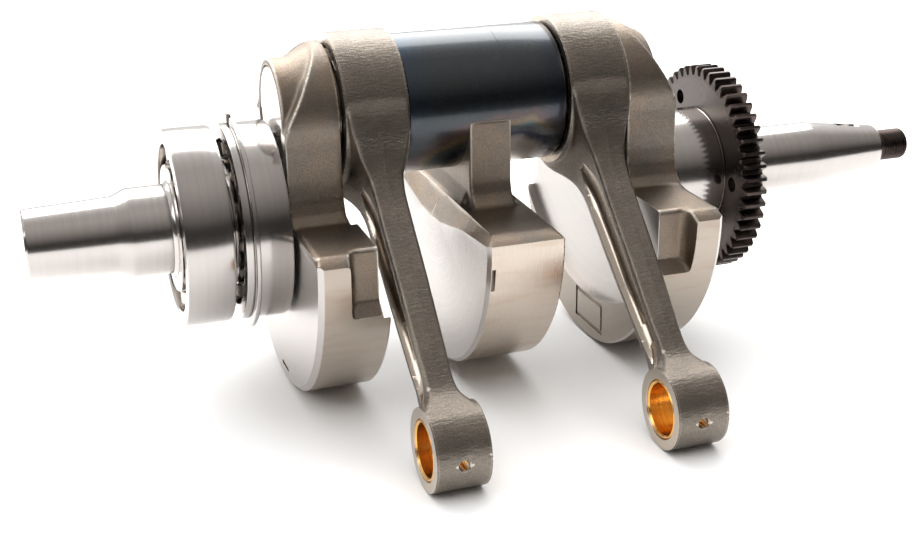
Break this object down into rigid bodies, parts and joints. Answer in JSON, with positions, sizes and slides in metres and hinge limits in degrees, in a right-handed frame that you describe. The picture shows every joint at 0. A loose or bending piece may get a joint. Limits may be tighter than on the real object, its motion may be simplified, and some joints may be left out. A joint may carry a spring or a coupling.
{
  "type": "crankshaft",
  "caption": "Built-up crankshaft for a small parallel twin: shared crank phase, one-piece rods on roller big ends, ball main bearings, spur gear and a tapered threaded flywheel end.",
  "frame": {"origin": "centre of the flat end face of the power take-off shaft, on the main axis", "axes": "+X along the main axis towards the flywheel end, +Z along the crank throw, from the main axis to the crankpin axis"},
  "size_m": [0.3605, 0.1815, 0.1317],
  "materials": {
    "forged_steel": "shot-blasted forging with turned and ground faces",
    "shot_peened_steel": "shot-peened, fine grain, satin",
    "ground_steel": "ground bright",
    "bearing_steel": "polished",
    "spring_steel": "bright spring steel",
    "cage_steel": "pressed steel, oiled",
    "bronze": "bored bronze",
    "black_oxide": "black oxide, satin"
  },
  "bodies": {
    "crank": {"pto_crank_half": "forged_steel", "centre_web": "forged_steel", "flywheel_crank_half": "forged_steel", "pto_crankpin": "ground_steel", "flywheel_crankpin": "ground_steel", "drive_gear": "black_oxide", "outboard_bearing_inner_ring": "bearing_steel", "inboard_bearing_inner_ring": "bearing_steel"},
    "outboard_outer_ring": {"outboard_bearing_outer_ring": "bearing_steel"},
    "outboard_ball_set": {"outboard_bearing_cage": "cage_steel", "outboard_bearing_ball_1": "bearing_steel", "outboard_bearing_ball_2": "bearing_steel", "outboard_bearing_ball_3": "bearing_steel", "outboard_bearing_ball_4": "bearing_steel", "outboard_bearing_ball_5": "bearing_steel", "outboard_bearing_ball_6": "bearing_steel", "outboard_bearing_ball_7": "bearing_steel", "outboard_bearing_ball_8": "bearing_steel", "outboard_bearing_ball_9": "bearing_steel"},
    "inboard_outer_ring": {"inboard_bearing_outer_ring": "bearing_steel", "snap_ring": "spring_steel"},
    "inboard_ball_set": {"inboard_bearing_cage": "cage_steel", "inboard_bearing_ball_1": "bearing_steel", "inboard_bearing_ball_2": "bearing_steel", "inboard_bearing_ball_3": "bearing_steel", "inboard_bearing_ball_4": "bearing_steel", "inboard_bearing_ball_5": "bearing_steel", "inboard_bearing_ball_6": "bearing_steel", "inboard_bearing_ball_7": "bearing_steel", "inboard_bearing_ball_8": "bearing_steel", "inboard_bearing_ball_9": "bearing_steel"},
    "pto_side_rod": {"pto_rod": "shot_peened_steel", "pto_small_end_bush": "bronze"},
    "flywheel_side_rod": {"flywheel_rod": "shot_peened_steel", "flywheel_small_end_bush": "bronze"},
    "pto_roller_set": {"pto_big_end_rollers": "bearing_steel"},
    "flywheel_roller_set": {"flywheel_big_end_rollers": "bearing_steel"}
  },
  "joints": [
    {"name": "outboard_ring_spin", "type": "hinge", "parent": "crank", "child": "outboard_outer_ring", "pos_m": [0.0597, 0, 0], "axis": [1, 0, 0], "continuous": true},
    {"name": "outboard_balls_spin", "type": "hinge", "parent": "crank", "child": "outboard_ball_set", "pos_m": [0.0597, 0, 0], "axis": [1, 0, 0], "continuous": true},
    {"name": "inboard_ring_spin", "type": "hinge", "parent": "crank", "child": "inboard_outer_ring", "pos_m": [0.0801, 0, 0], "axis": [1, 0, 0], "continuous": true},
    {"name": "inboard_balls_spin", "type": "hinge", "parent": "crank", "child": "inboard_ball_set", "pos_m": [0.0801, 0, 0], "axis": [1, 0, 0], "continuous": true},
    {"name": "pto_rod_swing", "type": "hinge", "parent": "crank", "child": "pto_side_rod", "pos_m": [0.1225, 0, 0.03825], "axis": [1, 0, 0], "continuous": true},
    {"name": "pto_rollers_spin", "type": "hinge", "parent": "crank", "child": "pto_roller_set", "pos_m": [0.1225, 0, 0.03825], "axis": [1, 0, 0], "continuous": true},
    {"name": "flywheel_rod_swing", "type": "hinge", "parent": "crank", "child": "flywheel_side_rod", "pos_m": [0.2075, 0, 0.03825], "axis": [1, 0, 0], "continuous": true},
    {"name": "flywheel_rollers_spin", "type": "hinge", "parent": "crank", "child": "flywheel_roller_set", "pos_m": [0.2075, 0, 0.03825], "axis": [1, 0, 0], "continuous": true}
  ],
  "couplings": [
    {"joint": "outboard_balls_spin", "follows": "outboard_ring_spin", "ratio": 0.6019},
    {"joint": "inboard_balls_spin", "follows": "inboard_ring_spin", "ratio": 0.6019},
    {"joint": "pto_rollers_spin", "follows": "pto_rod_swing", "ratio": 0.5652},
    {"joint": "flywheel_rollers_spin", "follows": "flywheel_rod_swing", "ratio": 0.5652}
  ]
}
